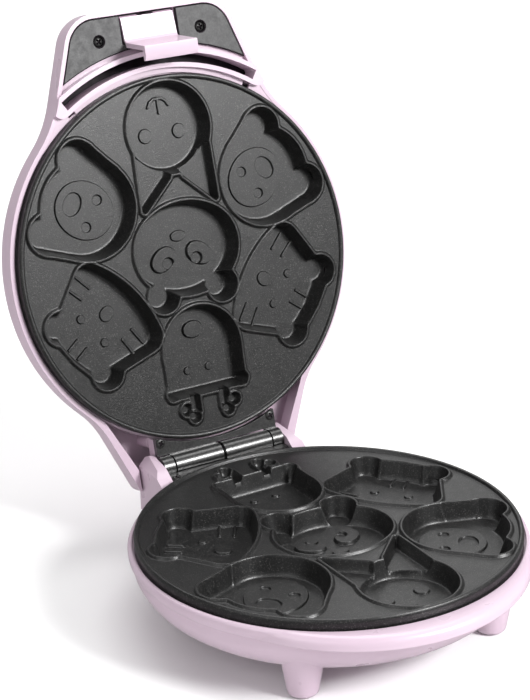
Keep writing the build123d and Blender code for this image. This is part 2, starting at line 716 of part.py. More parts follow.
def handle_cover():
    """The dark cover under the handle, with a notch for the latch and two sunk screw holes."""
    plan = offset(lid_outline(), -WALL - 0.3) & (Pos(0, -130) * Rectangle(150, 60))
    plan = plan - Circle(COVER_INNER_R) - Pos(0, NOTCH_REAR - 20) * Rectangle(2 * NOTCH_HALF, 40)
    cover = extrude(Pos(0, 0, COVER_Z) * plan, amount=COVER_T)
    for x, y in sided(COVER_SCREW):
        cover = cover + cylinder(4.6, COVER_Z, COVER_Z + 2 * COVER_T, x, y)
    for x, y in sided(COVER_SCREW):
        cover = cover - cylinder(COVER_WELL_R, COVER_Z - 1, COVER_Z + COVER_T, x, y)
        cover = cover - cylinder(SCREW_R + SCREW_FREE, COVER_Z, COVER_Z + 3 * COVER_T, x, y)
    return cover


def latch():
    """The hinged catch: a panel in the handle's notch, a web down the front and a hook for the base's lip."""
    side = make_face(
        Polyline((-133.2, 7.0), (-119.8, 5.2), (-116.9, HOOK_BOTTOM), (-111.4, HOOK_BOTTOM), (HOOK_TIP_Y, -15.0),
                 (HOOK_TIP_Y, HOOK_TOP), (-114.7, HOOK_TOP), (-117.0, 4.6), (-119.9, 5.6), (-120.6, 7.4),
                 (-129.6, 9.0), close=True)
    )
    side = fillet(side.vertices().sort_by_distance((-119.8, 5.2, 0))[0], 2.2)
    body = cross_bar(side, -LATCH_HALF, LATCH_HALF)
    pivot = Pos(LATCH_PIN_Y, LATCH_PIN_Z)
    body = body + cross_bar(pivot * Circle(LATCH_BARREL_R), -LATCH_HALF, LATCH_HALF)
    half = LATCH_SPRING_HALF
    body = body - cross_bar(pivot * Circle(LATCH_BARREL_R + 0.5), -half, half)
    return body - cross_bar(pivot * Circle(LATCH_PIN_R + PIN_CLEARANCE), -LATCH_HALF - 1, LATCH_HALF + 1)


def latch_pin():
    return cross_bar(Pos(LATCH_PIN_Y, LATCH_PIN_Z) * Circle(LATCH_PIN_R), -NOTCH_HALF - 1.7, NOTCH_HALF + 1.7)


def latch_spring():
    """The torsion spring on the latch's pin, as a sleeve with one leg up to the lid."""
    pivot = Pos(LATCH_PIN_Y, LATCH_PIN_Z)
    half = LATCH_SPRING_HALF - 0.6
    sleeve = cross_bar(pivot * (Circle(2.1) - Circle(LATCH_PIN_R + PIN_CLEARANCE)), -half, half)
    leg_y = LATCH_PIN_Y - 2.1
    return sleeve + block(-half, -half + 0.8, leg_y, leg_y + 0.8, LATCH_PIN_Z, LID_TOP - WALL - 3)


def indicator_lens():
    """A small domed lens in the top of the lid."""
    stem = cylinder(LAMP_HOLE_R - 0.1, LID_TOP - WALL - 2, LID_TOP + 0.2, 0, LAMP_Y)
    cap = cylinder(LENS_R, LID_TOP, LID_TOP + 0.9, 0, LAMP_Y)
    return stem + fillet(cap.faces().sort_by(Axis.Z)[-1].edges(), 0.7)


def indicator_lamp():
    """The neon lamp behind the lens."""
    return fillet(cylinder(LAMP_R, SLOT_BOTTOM + 1.7, LID_TOP - WALL - 2.1, 0, LAMP_Y).edges(), 0.4)


def upper(shape):
    """The same piece for the lid, mirrored over the parting plane."""
    return mirror(shape, about=Plane.XY)


def screws(places, seat, tip, **head):
    return [screw(x, y, seat, tip, **head) for x, y in places]


def base_pieces():
    bracket_top = HINGE_Z - BRACKET_RISE
    return {
        "base_shell": base_shell(),
        "lower_plate": plate(),
        "lower_heating_element": heating_element(),
        "lower_reflector": reflector(False),
        "lower_plate_screws": screws(PLATE_SCREWS, PLATE_WELL_TOP, CUP_BOTTOM - 0.6, head_r=3.0),
        "thermal_fuse": thermal_fuse(),
        "terminal_block": terminal_block(),
        "base_hinge_bracket": bracket(-1),
        "base_bracket_screws": screws(sided(BRACKET_SCREW), bracket_top, -16.5, head_h=1.0),
        "hinge_pin": hinge_pin(),
        "cord_inlet": cord_inlet(),
        "foot_pads": foot_pads(),
    }


def lid_pieces(lower_plate):
    bracket_under = HINGE_Z + BRACKET_RISE
    return {
        "lid_shell": lid_shell(),
        "lid_inner_frame": lid_inner_frame(),
        "upper_plate": upper(lower_plate),
        "upper_heating_element": upper(heating_element()),
        "upper_reflector": upper(reflector(True)),
        "upper_plate_screws": screws(PLATE_SCREWS, REFLECTOR_T - REFLECTOR_Z, 0.6 - CUP_BOTTOM, head_h=1.6),
        "thermostat": thermostat(),
        "lid_hinge_bracket": bracket(1),
        "lid_bracket_screws": screws(sided(BRACKET_SCREW), bracket_under, 18.5, head_h=1.0),
        "handle_cover": handle_cover(),
        "handle_screws": screws(sided(COVER_SCREW), COVER_Z + COVER_T, 19.5),
        "latch_pin": latch_pin(),
        "latch_spring": latch_spring(),
        "indicator_lens": indicator_lens(),
        "indicator_lamp": indicator_lamp(),
    }


def opened(shape):
    """Turns a piece of the lid back about the hinge."""
    return Pos(0, HINGE_Y, HINGE_Z) * Rot(-OPEN_ANGLE, 0, 0) * Pos(0, -HINGE_Y, -HINGE_Z) * shape


def stood(shape):
    """Sets a piece down so that the pads stand on the ground."""
    return Pos(0, -MIDDLE_Y, -FLOOR_Z) * shape


def write(name, shape):
    solids = shape if isinstance(shape, list) else [shape]
    export_step(Compound(label=name, children=solids) if len(solids) > 1 else solids[0], f"parts/{name}.step")


def main():
    base = base_pieces()
    lid = lid_pieces(base["lower_plate"])
    lid["latch"] = latch()
    for name, shape in base.items():
        placed = [stood(s) for s in shape] if isinstance(shape, list) else stood(shape)
        write(name, placed)
    for name, shape in lid.items():
        placed = [stood(opened(s)) for s in shape] if isinstance(shape, list) else stood(opened(shape))
        write(name, placed)


if __name__ == "__main__":
    main()
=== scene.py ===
import json
import math

import bmesh
import bpy
import numpy as np
from mathutils import Matrix, Vector, geometry


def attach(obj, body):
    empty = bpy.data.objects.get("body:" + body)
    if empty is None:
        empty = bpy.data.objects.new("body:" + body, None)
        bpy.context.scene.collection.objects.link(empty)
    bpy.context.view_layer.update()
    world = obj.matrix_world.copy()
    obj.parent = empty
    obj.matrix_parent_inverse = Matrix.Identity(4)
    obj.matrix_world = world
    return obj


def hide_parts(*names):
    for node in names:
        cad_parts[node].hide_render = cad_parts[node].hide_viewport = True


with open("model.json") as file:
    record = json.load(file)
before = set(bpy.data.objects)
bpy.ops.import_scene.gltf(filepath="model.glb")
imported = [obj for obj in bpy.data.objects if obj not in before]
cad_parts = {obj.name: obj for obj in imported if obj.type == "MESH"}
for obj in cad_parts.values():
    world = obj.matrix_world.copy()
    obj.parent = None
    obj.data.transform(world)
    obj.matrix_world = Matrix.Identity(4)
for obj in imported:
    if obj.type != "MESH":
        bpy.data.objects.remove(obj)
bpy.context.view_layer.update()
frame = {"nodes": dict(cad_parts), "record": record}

MM = 0.001
MIDDLE_Y, FLOOR_Z = 40.2, -48.4      # where the source's plate centre lies in the row frame
HINGE_Y, HINGE_Z = 110.5, -1.2
OPEN_ANGLE = math.radians(104)

# Plate, as in the source, in millimetres
FACE_Z, LIP_Z, BEAD_TOP = -1.8, -0.3, -0.2
BEAD_CROWN_R, BEAD_HALF, PLATE_R = 98.65, 1.35, 100.0
SKIRT_BOTTOM, SKIRT_INNER_R = -7.5, 97.8
LIP_TOP_WIDTH, LIP_FALL = 1.15, 1.73
WALL_FALL = 4.01
SHEET = 1.9
MOULD_FLOOR, EAR_FLOOR, ANTLER_FLOOR = -10.8, -6.8, -4.8
RELIEF = 1.3
RIB_R = 0.65

# Plate, only here: the bead's side, the figures' sides and how softly everything joins
BEAD_FALL, BEAD_POWER = 1.2, 3.2
EDGE_BREAK_Z = -2.2
FIGURE_FALL, FIGURE_INSET = 2.6, 0.25
RAISED_REACH, SUNK_REACH = 1.5, 0.8
PART_SOFT, LIP_TOP_SOFT, LIP_FOOT_SOFT, WALL_FOOT_SOFT = 0.8, 0.45, 0.35, 3.0
HOLLOW_SOFT, BRIM_SOFT, BEAD_SOFT, FIGURE_SOFT = 0.8, 0.9, 0.4, 0.3

scene = bpy.context.scene


def soft_min(a, b, k):
    """The lower of two heights or distances, with a smooth join as wide as k."""
    h = np.maximum(k - np.abs(a - b), 0) / k
    return np.minimum(a, b) - h * h * k / 4


def soft_max(a, b, k):
    """The higher of two, joined in the same way."""
    return -soft_min(-a, -b, k)


# Plane shapes, each a function that gives the distance to its outline, negative inside
def disc(cx, cy, r):
    return lambda x, y: np.hypot(x - cx, y - cy) - r


def bar(x1, y1, x2, y2, r):
    def distance(x, y):
        dx, dy = x2 - x1, y2 - y1
        t = np.clip(((x - x1) * dx + (y - y1) * dy) / (dx * dx + dy * dy), 0, 1)
        return np.hypot(x - x1 - t * dx, y - y1 - t * dy) - r
    return distance


def oval(cx, cy, half_wide, half_high, turn=0):
    """The source's four-arc oval."""
    upright = half_high > half_wide
    a, b = max(half_wide, half_high), min(half_wide, half_high)
    end_r = b - 0.55 * (a - b) * b / a
    run = a - end_r
    side_r = (run * run + b * b - end_r * end_r) / (2 * (b - end_r))
    drop = side_r - b
    c, s = math.cos(math.radians(turn)), math.sin(math.radians(turn))

    def distance(x, y):
        u, v = (x - cx) * c + (y - cy) * s, (y - cy) * c - (x - cx) * s
        if upright:
            u, v = v, u
        u, v = np.abs(u), np.abs(v)
        on_end = u * drop - (v + drop) * run > 0
        return np.where(on_end, np.hypot(u - run, v) - end_r, np.hypot(u, v + drop) - side_r)
    return distance


def convex(points, rounding):
    """A convex outline, anticlockwise, with its corners rounded."""
    p = np.array(points, float)
    e = np.roll(p, -1, 0) - p
    n = np.stack([e[:, 1], -e[:, 0]], 1) / np.hypot(e[:, 0], e[:, 1])[:, None]
    k = (n * p).sum(1) - rounding
    inner = []
    for i in range(len(p)):
        m = np.array([n[i - 1], n[i]])
        inner.append(np.linalg.solve(m, [k[i - 1], k[i]]))
    inner = np.array(inner)

    def distance(x, y):
        inside = np.full(np.shape(x), -1e9)
        outside = np.full(np.shape(x), 1e9)
        for i in range(len(inner)):
            a, b = inner[i], inner[(i + 1) % len(inner)]
            inside = np.maximum(inside, n[i][0] * x + n[i][1] * y - k[i])
            outside = np.minimum(outside, bar(a[0], a[1], b[0], b[1], 0)(x, y))
        return np.where(inside < 0, inside, outside) - rounding
    return distance


def arc(a, b, c, steps):
    """Points on the arc through three points, without its last."""
    (ax, ay), (bx, by), (cx, cy) = a, b, c
    d = 2 * (ax * (by - cy) + bx * (cy - ay) + cx * (ay - by))
    qa, qb, qc = ax * ax + ay * ay, bx * bx + by * by, cx * cx + cy * cy
    ox = (qa * (by - cy) + qb * (cy - ay) + qc * (ay - by)) / d
    oy = (qa * (cx - bx) + qb * (ax - cx) + qc * (bx - ax)) / d
    r = math.hypot(ax - ox, ay - oy)
    t1 = math.atan2(ay - oy, ax - ox)
    t2 = math.atan2(cy - oy, cx - ox)
    tm = math.atan2(by - oy, bx - ox)
    while t2 - t1 > math.pi or (t2 - t1 > 0) != ((tm - t1 + math.pi) % (2 * math.pi) - math.pi > 0):
        t2 += -2 * math.pi if t2 > t1 else 2 * math.pi
        if abs(t2 - t1) <= math.pi:
            break
    return [(ox + r * math.cos(t1 + (t2 - t1) * i / steps), oy + r * math.sin(t1 + (t2 - t1) * i / steps))
            for i in range(steps)]


def both(shape):
    """A shape and its mirror image over the centre line."""
    return lambda x, y: shape(np.abs(x), y)


def any_of(shapes, k=1.2):
    """Several shapes as one, with soft inner corners."""
    def distance(x, y):
        d = shapes[0](x, y)
        for shape in shapes[1:]:
            d = soft_min(d, shape(x, y), k)
        return d
    return distance


def placed(shape, angle, px, py, flip):
    """A shape drawn upright about the origin, set in the plate with its top along the angle."""
    a = math.radians(angle - 90)
    c, s = math.cos(a), math.sin(a)

    def distance(x, y):
        x = x * flip
        u, v = (x - px) * c + (y - py) * s, (y - py) * c - (x - px) * s
        return shape(u, v)
    return distance


def tiger_head():
    cheek = arc((31.8, -11), (31.2, -18.5), (25.5, -22.8), 5)
    chin = arc((25.5, -22.8), (0, -27.4), (-25.5, -22.8), 14)
    clockwise = [(20.5, 20.5), (31.8, -11)] + cheek[1:] + chin + [(-x, y) for x, y in cheek[::-1]]
    clockwise += [(-20.5, 20.5), (-10.5, 23.1), (0, 24), (10.5, 23.1)]
    return convex(clockwise[::-1], 1.0)


# Every mould: parts as (shape, floor), raised figures as (shape, height), sunk ones as (shape, height left).
# Those of the middle line are drawn in place, the tiger and the dog upright about the origin.
BEAR = (
    [(any_of([oval(0, -5, 32, 26), both(disc(18.3, 18.8, 9.3))]), MOULD_FLOOR)],
    [(both(oval(11.2, -0.2, 8.0, 5.9, 32)), 1.6 * RELIEF), (oval(0, -11.6, 4.6, 2.9), RELIEF)],
    [(both(disc(8.9, 2.4, 3.1)), 0.3)],
)
DEER = (
    [(any_of([disc(0, 51, 24), convex([(-23.9, 51), (23.9, 51), (23.9, 76.2), (-23.9, 76.2)], 0.8),
              both(disc(21.6, 72.5, 3.9))]), MOULD_FLOOR),
     (any_of([both(convex([(6.3, 75), (12.1, 75), (12.1, 86), (6.3, 86)], 0.6)),
              both(disc(10.6, 87.6, 3.5)), both(disc(15.0, 83.0, 3.6))], 0.8), ANTLER_FLOOR)],
    [(both(disc(6.7, 63.3, 2.1)), RELIEF), (oval(0, 41, 6, 4.5), 1.4 * RELIEF)],
    [],
)
CAT = (
    [(disc(0, -71.4, 25.2), MOULD_FLOOR),
     (both(convex([(2.0, -49.0), (23.0, -62.0), (23.8, -25.6), (4.0, -44.0)], 1.6)), EAR_FLOOR)],
    [(both(disc(10.4, -68.3, 3.9)), RELIEF),
     (both(any_of([bar(0, -87.6, 2.6, -87.2, RIB_R), bar(2.6, -87.2, 4.8, -85.8, RIB_R),
                   bar(4.8, -85.8, 6.3, -83.2, RIB_R)], 0.4)), RELIEF),
     (bar(0, -79.6, 0, -86.8, RIB_R), RELIEF)],
    [],
)
TIGER = (
    [(any_of([tiger_head(), both(disc(18.6, 15.8, 9.0))]), MOULD_FLOOR)],
    [(both(disc(9.6, 2.5, 2.3)), RELIEF), (oval(0, -9.8, 3.8, 4.5), RELIEF),
     (both(bar(3.6, 11.8, 3.6, 19.6, RIB_R)), RELIEF),
     (both(bar(27.6, -4.2, 16.6, -5.6, RIB_R)), RELIEF),
     (both(bar(27.4, -12.4, 17.2, -13.2, RIB_R)), RELIEF)],
    [],
)
DOG = (
    [(any_of([disc(0, -3.5, 27.5), both(disc(21.3, 13.2, 10.8)),
              both(convex([(0, -3.5), (26.7, -10.1), (31.8, 10.6), (21.3, 13.2)], 0.5))]), MOULD_FLOOR)],
    [(oval(0, -5, 15.5, 17.5), RELIEF)],
    [(both(disc(8, -9.5, 2.7)), 0.0), (oval(0, 3, 6.5, 5), 0.0)],
)
TIGER_PLACE, DOG_PLACE = (142.1, -57.6, 28.2), (213.2, -57.5, -37.9)     # angle of the top, x, y


def set_mould(mould, place, flip):
    return tuple([(placed(shape, *place, flip), number) for shape, number in group] for group in mould)


MOULDS = [BEAR, DEER, CAT]
for sign in (1, -1):
    MOULDS += [set_mould(TIGER, TIGER_PLACE, sign), set_mould(DOG, DOG_PLACE, sign)]


def whole_outline(parts):
    return any_of([shape for shape, _ in parts], PART_SOFT)


def plate_height(x, y):
    """The cooking side's height over the whole plate."""
    z = np.full(x.shape, FACE_Z)
    hollow = np.full(x.shape, 1e3)
    for parts, _, _ in MOULDS:
        whole = whole_outline(parts)(x, y)
        lip = soft_min(np.full(x.shape, LIP_Z), LIP_Z - (whole - LIP_TOP_WIDTH) * LIP_FALL, LIP_TOP_SOFT)
        z = soft_max(z, lip, LIP_FOOT_SOFT)
        for shape, floor in parts:
            wall = soft_max(LIP_Z + WALL_FALL * shape(x, y), np.full(x.shape, floor), WALL_FOOT_SOFT)
            hollow = soft_min(hollow, wall, HOLLOW_SOFT)
    z = soft_min(z, hollow, BRIM_SOFT)
    r = np.hypot(x, y)
    z = soft_max(z, BEAD_TOP - BEAD_FALL * np.abs((r - BEAD_CROWN_R) / BEAD_HALF) ** BEAD_POWER, BEAD_SOFT)
    for _, raised, sunk in MOULDS:
        for shape, height in raised:
            e = shape(x, y)
            side = MOULD_FLOOR + height - FIGURE_FALL * np.maximum(e + FIGURE_INSET, 0)
            z = np.where(e < RAISED_REACH, soft_max(z, side, FIGURE_SOFT), z)
        for shape, height in sunk:
            e = shape(x, y)
            side = MOULD_FLOOR + height + FIGURE_FALL * np.maximum(e + FIGURE_INSET, 0)
            z = np.where(e < SUNK_REACH, soft_min(z, side, FIGURE_SOFT), z)
    return z


def contour(shape, level, box, step=0.5):
    """The chains of points where a shape's distance has this level, by marching squares."""
    x1, x2, y1, y2 = box
    xs, ys = np.arange(x1, x2 + step, step), np.arange(y1, y2 + step, step)
    gx, gy = np.meshgrid(xs, ys)
    f = shape(gx, gy) - level + 1e-7
    inside = f < 0
    links = {}

    def cross(i, j, along):
        k, l = (i, j + 1) if along else (i + 1, j)
        t = f[i, j] / (f[i, j] - f[k, l])
        return (xs[j] + (step * t if along else 0), ys[i] + (0 if along else step * t))

    mixed = inside[:-1, :-1].astype(int) + inside[1:, :-1] + inside[:-1, 1:] + inside[1:, 1:]
    points = {}
    for i, j in zip(*np.nonzero((mixed > 0) & (mixed < 4))):
        sides = []
        for key, a, b in (
            ((i, j, True), inside[i, j], inside[i, j + 1]),
            ((i, j + 1, False), inside[i, j + 1], inside[i + 1, j + 1]),
            ((i + 1, j, True), inside[i + 1, j + 1], inside[i + 1, j]),
            ((i, j, False), inside[i + 1, j], inside[i, j]),
        ):
            if a != b:
                sides.append(key)
                if key not in points:
                    points[key] = cross(*key)
        for a, b in zip(sides[::2], sides[1::2]):
            links.setdefault(a, []).append(b)
            links.setdefault(b, []).append(a)
    chains = []
    left = set(links)
    while left:
        start = min(left)
        chain = [start]
        left.discard(start)
        while True:
            onward = [k for k in links[chain[-1]] if k in left]
            if not onward:
                break
            chain.append(onward[0])
            left.discard(onward[0])
        if len(chain) > 4:
            chains.append(np.array([points[k] for k in chain]))
    return chains


def resampled(chain, spacing):
    """A closed chain at equal steps."""
    ring = np.vstack([chain, chain[:1]])
    run = np.concatenate([[0], np.cumsum(np.hypot(*np.diff(ring, axis=0).T))])
    count = max(8, int(round(run[-1] / spacing)))
    at = np.linspace(0, run[-1], count, endpoint=False)
    return np.stack([np.interp(at, run, ring[:, 0]), np.interp(at, run, ring[:, 1])], 1)


class Net:
    """Points and edges that the triangles of the plate follow."""

    def __init__(self):
        self.points, self.edges = [], []

    def ring(self, pts, keep=None):
        n = len(pts)
        at = {}
        for i in range(n):
            if keep is None or keep[i]:
                at[i] = len(self.points)
                self.points.append(tuple(pts[i]))
        for i in at:
            j = (i + 1) % n
            if j in at:
                self.edges.append((at[i], at[j]))


# Distances from an outline at which the mesh follows it: the lip and wall of a mould, and a figure's side
MOULD_LEVELS = (3.6, 3.0, 2.5, 2.1, 1.9, 1.6, 1.3, 1.1, 0.7, 0.3, 0.1,
                -0.1, -0.3, -0.7, -1.4, -1.9, -2.3, -2.6, -2.9, -3.3, -4.2)
FIGURE_LEVELS = (1.0, 0.72, 0.45, 0.2, -0.05, -0.3, -0.6)
MOULD_SPACING, QUICK_SPACING, FIGURE_SPACING, FLAT_SPACING = 0.8, 1.4, 0.5, 4.0
EAR_MARGIN = 0.4
BEAD_RADII = (95.5, 96.6, 97.0, 97.2, 97.4, 97.6, SKIRT_INNER_R, 98.2, 98.7, 99.2, 99.5, 99.8, PLATE_R)
BEAD_STEPS = 360


def add_mould(net, mould, quick):
    parts, raised, sunk = mould
    whole = whole_outline(parts)
    gx, gy = np.meshgrid(np.arange(-99, 99.5, 1.0), np.arange(-99, 99.5, 1.0))
    near = whole(gx, gy) < 5
    box = (gx[near].min(), gx[near].max(), gy[near].min(), gy[near].max())
    levels = MOULD_LEVELS[::2] if quick else MOULD_LEVELS
    spacing = QUICK_SPACING if quick else MOULD_SPACING
    for level in levels:
        for chain in contour(whole, level, box):
            net.ring(resampled(chain, spacing))
    if len(parts) > 1:
        head, ears = parts[0][0], parts[1][0]
        for level in levels:
            if level > -0.1:
                continue
            for chain in contour(head, level, box):
                pts = resampled(chain, spacing)
                x, y = pts[:, 0], pts[:, 1]
                net.ring(pts, ears(x, y) < head(x, y) - EAR_MARGIN)
    for shape, _ in raised + sunk:
        for level in FIGURE_LEVELS:
            for chain in contour(shape, level, box, 0.25):
                net.ring(resampled(chain, FIGURE_SPACING))


def plate_net(quick):
    net = Net()
    for mould in MOULDS:
        add_mould(net, mould, quick)
    for r in BEAD_RADII:
        t = np.linspace(0, 2 * math.pi, BEAD_STEPS, endpoint=False)
        net.ring(np.stack([r * np.cos(t), r * np.sin(t)], 1))
    gx, gy = np.meshgrid(np.arange(-94, 95, FLAT_SPACING), np.arange(-94, 95, FLAT_SPACING))
    inner = np.hypot(gx, gy) < BEAD_RADII[0] - 1
    net.points += [(float(a), float(b)) for a, b in zip(gx[inner], gy[inner])]
    return net


def plate_mesh(quick):
    """Vertices and faces of the lower plate, a closed casting, in the source's frame and millimetres."""
    net = plate_net(quick)
    out = geometry.delaunay_2d_cdt([Vector(p) for p in net.points], net.edges, [], 0, 1e-4)
    flat = np.array([(v.x, v.y) for v in out[0]])
    faces = [tuple(f) for f in out[2]]
    z = plate_height(flat[:, 0], flat[:, 1])
    r = np.hypot(flat[:, 0], flat[:, 1])
    verts = [(x, y, h) for (x, y), h in zip(flat, z)]
    under = {}
    low_faces = []
    for f in faces:
        if all(r[i] < SKIRT_INNER_R + 0.02 for i in f):
            for i in f:
                if i not in under:
                    under[i] = len(verts)
                    verts.append((flat[i][0], flat[i][1], z[i] - SHEET))
            low_faces.append(tuple(under[i] for i in reversed(f)))
    outer = sorted((i for i in range(len(flat)) if r[i] > PLATE_R - 0.01),
                   key=lambda i: math.atan2(flat[i][1], flat[i][0]))
    inner = sorted((i for i in under if abs(r[i] - SKIRT_INNER_R) < 0.02),
                   key=lambda i: math.atan2(flat[i][1], flat[i][0]))

    def ring_at(source, height):
        start = len(verts)
        verts.extend((flat[i][0], flat[i][1], height) for i in source)
        return list(range(start, start + len(source)))

    rings = [outer, ring_at(outer, EDGE_BREAK_Z), ring_at(outer, SKIRT_BOTTOM), ring_at(inner, SKIRT_BOTTOM),
             [under[i] for i in inner]]
    faces += low_faces
    for a, b in zip(rings, rings[1:]):
        n = len(a)
        for i in range(n):
            j = (i + 1) % n
            faces.append((a[i], b[i], b[j], a[j]))
    return np.array(verts), faces


def to_row(points, lid):
    """Source coordinates in millimetres to the row frame in metres, turned open for pieces on the lid."""
    p = np.array(points, float).reshape(-1, 3).copy()
    if lid:
        c, s = math.cos(OPEN_ANGLE), math.sin(OPEN_ANGLE)
        y, z = p[:, 1] - HINGE_Y, p[:, 2] - HINGE_Z
        p[:, 1], p[:, 2] = HINGE_Y + y * c + z * s, HINGE_Z - y * s + z * c
    p[:, 1] -= MIDDLE_Y
    p[:, 2] -= FLOOR_Z
    return p * MM


def new_piece(name, verts, faces, body, slot, smooth=True):
    mesh = bpy.data.meshes.new(name)
    mesh.from_pydata([tuple(v) for v in verts], [], faces)
    mesh.validate()
    mesh.polygons.foreach_set("use_smooth", [smooth] * len(mesh.polygons))
    mesh.materials.append(FINISH[slot])
    obj = bpy.data.objects.new(name, mesh)
    scene.collection.objects.link(obj)
    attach(obj, body)
    return obj


# Materials
class Maker:
    """Short calls that build a material's node tree."""

    def __init__(self, name):
        self.material = bpy.data.materials.new(name)
        self.material.use_nodes = True
        self.nodes = self.material.node_tree.nodes
        self.links = self.material.node_tree.links
        self.shader = self.nodes["Principled BSDF"]
        self.place = self.nodes.new("ShaderNodeTexCoord").outputs["Object"]

    def set(self, **values):
        for name, value in values.items():
            self.shader.inputs[name.replace("_", " ")].default_value = value

    def link(self, source, name):
        self.links.new(source, self.shader.inputs[name])

    def noise(self, scale, detail=3.0, rough=0.5, stretch=None):
        node = self.nodes.new("ShaderNodeTexNoise")
        node.inputs["Scale"].default_value = scale
        node.inputs["Detail"].default_value = detail
        node.inputs["Roughness"].default_value = rough
        place = self.place
        if stretch:
            shift = self.nodes.new("ShaderNodeMapping")
            shift.inputs["Scale"].default_value = stretch
            self.links.new(self.place, shift.inputs["Vector"])
            place = shift.outputs["Vector"]
        self.links.new(place, node.inputs["Vector"])
        return node.outputs["Fac"]

    def ranged(self, source, low, high, start=0.3, end=0.7):
        node = self.nodes.new("ShaderNodeMapRange")
        for name, value in (("From Min", start), ("From Max", end), ("To Min", low), ("To Max", high)):
            node.inputs[name].default_value = value
        self.links.new(source, node.inputs["Value"])
        return node.outputs["Result"]

    def ramp(self, source, *stops):
        node = self.nodes.new("ShaderNodeValToRGB")
        ramp = node.color_ramp
        while len(ramp.elements) < len(stops):
            ramp.elements.new(0.5)
        for element, (place, colour) in zip(ramp.elements, stops):
            element.position = place
            element.color = (*colour, 1)
        self.links.new(source, node.inputs["Fac"])
        return node.outputs["Color"]

    def bump(self, source, strength, distance, below=None):
        node = self.nodes.new("ShaderNodeBump")
        node.inputs["Strength"].default_value = strength
        node.inputs["Distance"].default_value = distance
        self.links.new(source, node.inputs["Height"])
        if below is not None:
            self.links.new(below, node.inputs["Normal"])
        return node.outputs["Normal"]


def finish(name, tint, rough, grain=None, stretch=None, **values):
    """A material: tint and rough are (noise scale, detail, low, high), grain is (scale, detail, strength, depth)."""
    m = Maker(name)
    scale, detail, dark, light = tint
    m.link(m.ramp(m.noise(scale, detail, stretch=stretch), (0.3, dark), (0.7, light)), "Base Color")
    scale, detail, smooth, dull = rough
    m.link(m.ranged(m.noise(scale, detail), smooth, dull), "Roughness")
    if grain:
        scale, detail, strength, depth = grain
        m.link(m.bump(m.noise(scale, detail), strength, depth), "Normal")
    m.set(**values)
    return m.material


def pink_plastic():
    """Satin plastic with a fine grain over a slight waviness."""
    m = Maker("pink_satin_plastic")
    m.link(m.ramp(m.noise(26, 4), (0.3, (0.570, 0.445, 0.532)), (0.7, (0.600, 0.475, 0.562))), "Base Color")
    m.link(m.ranged(m.noise(60, 3), 0.27, 0.36), "Roughness")
    grain = m.bump(m.noise(2600, 2), 0.06, 0.0001)
    m.link(m.bump(m.noise(22, 1), 0.05, 0.002, grain), "Normal")
    m.set(IOR=1.5, Coat_Weight=0.25, Coat_Roughness=0.12)
    return m.material


def plate_coating():
    """Black non-stick coating with fine pale flecks."""
    m = Maker("nonstick_coating")
    m.link(m.ramp(m.noise(1500, 2), (0.35, (0.004, 0.004, 0.0042)), (0.58, (0.008, 0.008, 0.008)),
                  (0.71, (0.070, 0.067, 0.065))), "Base Color")
    m.link(m.ranged(m.noise(240, 4), 0.32, 0.41), "Roughness")
    m.link(m.bump(m.noise(1700, 2), 0.65, 0.00014), "Normal")
    m.set(IOR=1.55)
    return m.material


FINISH = {
    "pink_plastic": pink_plastic(),
    "nonstick_plate": plate_coating(),
    "dark_plastic": finish("dark_grained_plastic", (900, 3, (0.020, 0.020, 0.021), (0.045, 0.044, 0.045)),
                           (300, 3, 0.38, 0.52), (1800, 3, 0.4, 0.00012)),
    "hinge_black": finish("hinge_black_casting", (900, 3, (0.045, 0.045, 0.046), (0.085, 0.084, 0.083)),
                          (400, 3, 0.28, 0.36), (1300, 2, 0.25, 0.00009),
                          Metallic=0.85, Coat_Weight=0.6, Coat_Roughness=0.22),
    "black_screw": finish("blackened_steel", (700, 3, (0.035, 0.035, 0.035), (0.065, 0.064, 0.063)),
                          (500, 3, 0.34, 0.46), (900, 2, 0.2, 0.0001), Metallic=0.7),
    "steel": finish("plated_steel", (90, 4, (0.42, 0.42, 0.43), (0.62, 0.61, 0.60)),
                    (500, 3, 0.22, 0.40), (600, 2, 0.15, 0.0002), stretch=(1, 1, 14), Metallic=1.0),
    "rubber": finish("soft_rubber", (500, 3, (0.020, 0.019, 0.020), (0.038, 0.036, 0.037)),
                     (300, 3, 0.62, 0.80), (1500, 3, 0.4, 0.0002)),
    "ceramic": finish("white_ceramic", (120, 4, (0.70, 0.67, 0.60), (0.82, 0.80, 0.75)),
                      (300, 3, 0.5, 0.7), (800, 3, 0.3, 0.0002)),
    "red_lens": finish("red_lens_plastic", (200, 3, (0.42, 0.02, 0.02), (0.60, 0.05, 0.04)),
                       (300, 3, 0.08, 0.16), Coat_Weight=0.6, Coat_Roughness=0.05),
    "lamp_glass": finish("lamp_glass", (300, 3, (0.80, 0.55, 0.45), (0.90, 0.70, 0.60)), (300, 3, 0.05, 0.12)),
}
# Near-black material that stands for shade, not for a colour of the parts: painted shade in the collar slot, a
# painted shadow line round the handle cover and painted shade in the screws' cross recesses
SHADE_PAINT = finish("collar_slot_dark", (300, 3, (0.005, 0.003, 0.005), (0.014, 0.009, 0.013)),
              (200, 3, 0.5, 0.65), Specular_IOR_Level=0.15)
SLOT_OF = {row["node"]: row["material_slot"] for row in frame["record"]["subparts"]}
BODY_OF = {n: body for body, members in frame["record"]["behaviour"]["bodies"].items() for n in members}

for node, obj in frame["nodes"].items():
    node_finish = FINISH[SLOT_OF[node]]
    if not obj.material_slots:
        obj.data.materials.append(node_finish)
    for material_slot in obj.material_slots:
        material_slot.material = node_finish


# Rounding of the CAD nodes' own forms, in metres and degrees
NEEDLE = 0.03 * MM                   # narrower triangles have no normal to trust
MERGE = 2e-6
FLAT_ANGLE, ROUNDED_ANGLE, SHARP_ANGLE = 0.3, 38, 50
EDGE_SEGMENTS = 3


def baked(obj):
    """The object's mesh with its modifiers applied."""
    bpy.context.view_layer.update()
    made = bpy.data.meshes.new_from_object(obj.evaluated_get(bpy.context.evaluated_depsgraph_get()))
    obj.modifiers.clear()
    obj.data = made
    return made


